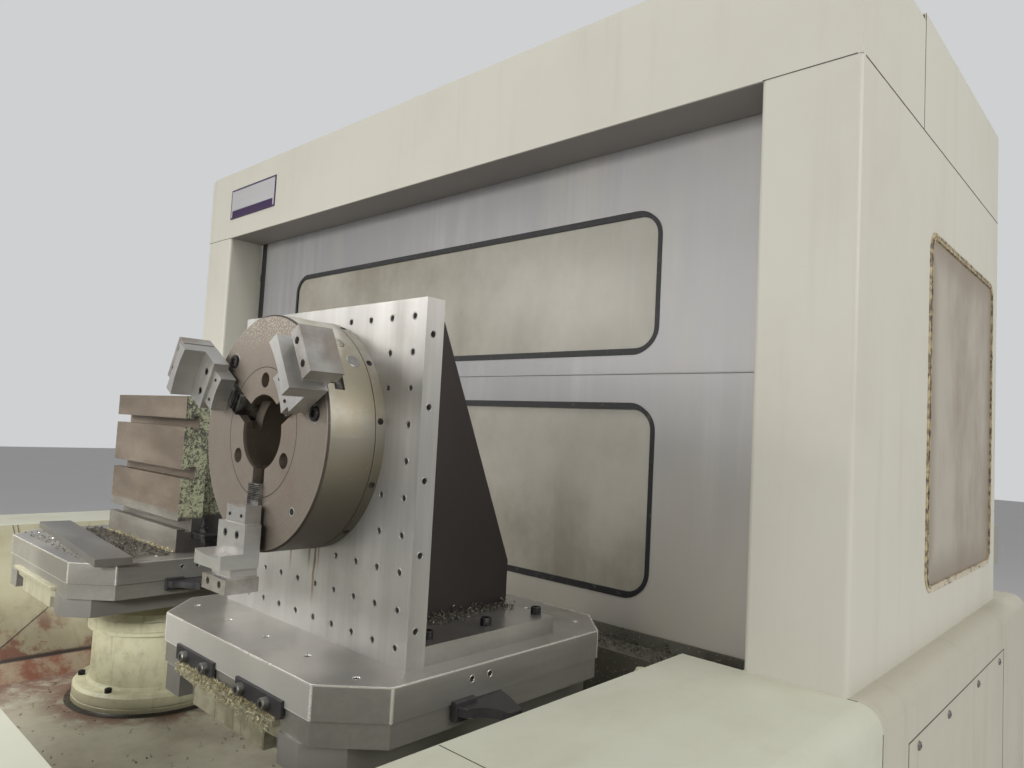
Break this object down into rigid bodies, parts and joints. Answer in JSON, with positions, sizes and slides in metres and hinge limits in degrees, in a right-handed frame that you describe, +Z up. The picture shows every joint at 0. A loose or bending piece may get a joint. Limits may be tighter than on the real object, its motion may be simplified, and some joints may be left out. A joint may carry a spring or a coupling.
{
  "type": "horizontal machining center",
  "caption": "Horizontal machining center with a lift door, turning setup pallets, an angle plate carrying a jaw chuck, a slotted knee, chip guards and a travelling column behind.",
  "frame": {"origin": "on the floor, on the portal's centre line, in the plane of the portal front", "axes": "+X to the right along the front, +Y into the machine, +Z up"},
  "size_m": [3.768, 5.2793, 3.26],
  "materials": {
    "casting_paint": "dull grey green machine paint",
    "cover_paint": "satin off-white paint with light grime",
    "guard_paint": "satin off-white paint, oily and chip-strewn",
    "tray_paint": "worn, wet and rusty dark paint",
    "door_paint": "grey sheet with coolant streaks",
    "pedestal_paint": "cream machine paint, stained",
    "dark_steel": "dark oily steel",
    "ground_steel": "ground steel",
    "machined_steel": "bright machined steel",
    "chuck_steel": "turned steel with a brown film",
    "knee_iron": "machined cast iron, green paint on the sides",
    "cylinder_tube": "drawn aluminium",
    "chrome_rod": "hard chrome",
    "pane": "fogged safety pane",
    "gasket": "black profile rubber",
    "sealant": "yellowed sealing bead",
    "column_paint": "light grey machine paint",
    "cabinet_paint": "textured beige paint",
    "tank_paint": "grey paint",
    "panel_paint": "light grey paint",
    "red_plastic": "gloss",
    "green_plastic": "gloss",
    "black_plastic": "matte"
  },
  "bodies": {
    "frame": {"bed": "casting_paint", "axis_drives": "machined_steel", "station_base": "casting_paint", "tray_floor": "tray_paint", "right_guard": "guard_paint", "front_guard": "guard_paint", "left_guard": "guard_paint", "right_skirt": "cover_paint", "left_skirt": "cover_paint", "right_side_cover": "cover_paint", "left_side_cover": "cover_paint", "portal_header": "cover_paint", "upper_side_panels": "cover_paint", "side_window": "pane", "side_window_seal": "sealant", "door_guides": "dark_steel", "door_cylinders": "cylinder_tube", "rear_enclosure": "cover_paint", "electrical_cabinet": "cabinet_paint", "coolant_tank": "tank_paint", "left_pedestal": "pedestal_paint", "right_pedestal": "pedestal_paint", "magazine_stand": "casting_paint"},
    "door": {"lift_door": "door_paint", "door_windows": "pane", "door_window_seals": "gasket", "door_rods": "chrome_rod"},
    "left_station": {"left_carrier": "dark_steel", "left_apron": "pedestal_paint", "left_pallet": "ground_steel", "slotted_knee": "knee_iron", "flat_bar": "ground_steel"},
    "right_station": {"right_carrier": "dark_steel", "right_apron": "pedestal_paint", "right_pallet": "ground_steel", "face_plate": "ground_steel", "angle_base": "ground_steel", "gussets": "dark_steel", "chuck_body": "chuck_steel", "chuck_cover_ring": "chuck_steel"},
    "jaw_1": {"master_jaw_1": "machined_steel", "top_jaw_1": "machined_steel"},
    "jaw_2": {"master_jaw_2": "machined_steel", "top_jaw_2": "machined_steel"},
    "jaw_3": {"master_jaw_3": "machined_steel", "top_jaw_3": "machined_steel"},
    "saddle": {"table_saddle": "casting_paint"},
    "table": {"b_table": "ground_steel"},
    "travelling_column": {"column": "column_paint"},
    "head": {"spindle_head": "column_paint"},
    "spindle_shaft": {"spindle": "machined_steel"},
    "magazine": {"magazine_disc": "machined_steel"},
    "arm": {"tool_arm": "dark_steel"},
    "operator_leaf": {"operator_door": "cover_paint", "operator_window": "pane"},
    "control_pendant": {"pendant": "panel_paint"},
    "stop_button": {"e_stop_button": "red_plastic"},
    "green_button": {"start_button": "green_plastic"},
    "knob": {"override_knob": "black_plastic"},
    "cabinet_leaf": {"cabinet_door": "cabinet_paint"}
  },
  "joints": [
    {"name": "door_lift", "type": "slide", "parent": "frame", "child": "door", "axis": [0, 0, 1], "range_m": [0, 1.2]},
    {"name": "left_turn", "type": "hinge", "parent": "frame", "child": "left_station", "pos_m": [-0.65, -0.474, 1], "axis": [0, 0, 1], "continuous": true},
    {"name": "right_turn", "type": "hinge", "parent": "frame", "child": "right_station", "pos_m": [0.65, -0.474, 1], "axis": [0, 0, 1], "continuous": true},
    {"name": "jaw_slide_1", "type": "slide", "parent": "right_station", "child": "jaw_1", "axis": [0.866, 0, 0.5], "range_m": [-0.008, 0.008]},
    {"name": "jaw_slide_2", "type": "slide", "parent": "right_station", "child": "jaw_2", "axis": [-0.866, 0, 0.5], "range_m": [-0.008, 0.008]},
    {"name": "jaw_slide_3", "type": "slide", "parent": "right_station", "child": "jaw_3", "axis": [0, 0, -1], "range_m": [-0.008, 0.008]},
    {"name": "x_axis", "type": "slide", "parent": "frame", "child": "saddle", "axis": [1, 0, 0], "range_m": [-0.65, 0.65]},
    {"name": "b_axis", "type": "hinge", "parent": "saddle", "child": "table", "pos_m": [0, 0.76, 0.8], "axis": [0, 0, 1], "continuous": true},
    {"name": "z_axis", "type": "slide", "parent": "frame", "child": "travelling_column", "axis": [0, -1, 0], "range_m": [0, 0.52]},
    {"name": "y_axis", "type": "slide", "parent": "travelling_column", "child": "head", "axis": [0, 0, 1], "range_m": [0, 0.9]},
    {"name": "spindle_turn", "type": "hinge", "parent": "head", "child": "spindle_shaft", "pos_m": [0, 1.48, 1.3], "axis": [0, -1, 0], "continuous": true},
    {"name": "magazine_turn", "type": "hinge", "parent": "frame", "child": "magazine", "pos_m": [-1.3, 2.15, 1.75], "axis": [1, 0, 0], "continuous": true},
    {"name": "tool_change", "type": "hinge", "parent": "frame", "child": "arm", "pos_m": [-0.54, 1.4, 1.9], "axis": [0, -1, 0], "range_deg": [0, 180]},
    {"name": "operator_slide", "type": "slide", "parent": "frame", "child": "operator_leaf", "axis": [0, 1, 0], "range_m": [0, 0.7]},
    {"name": "pendant_swing", "type": "hinge", "parent": "frame", "child": "control_pendant", "pos_m": [-1.6, 0.7, 2.5], "axis": [0, 0, 1], "range_deg": [-45, 45]},
    {"name": "stop_press", "type": "slide", "parent": "control_pendant", "child": "stop_button", "axis": [0, 1, 0], "range_m": [0, 0.006], "stiffness_N_per_m": 900},
    {"name": "start_press", "type": "slide", "parent": "control_pendant", "child": "green_button", "axis": [0, 1, 0], "range_m": [0, 0.004], "stiffness_N_per_m": 600},
    {"name": "knob_turn", "type": "hinge", "parent": "control_pendant", "child": "knob", "pos_m": [-1.95, 0.625, 1.306], "axis": [0, 1, 0], "range_deg": [-135, 135]},
    {"name": "cabinet_hinge", "type": "hinge", "parent": "frame", "child": "cabinet_leaf", "pos_m": [0.559, 3.592, 1], "axis": [0, 0, -1], "range_deg": [0, 110]}
  ],
  "couplings": [
    {"joint": "jaw_slide_2", "follows": "jaw_slide_1", "ratio": 1},
    {"joint": "jaw_slide_3", "follows": "jaw_slide_1", "ratio": 1}
  ]
}
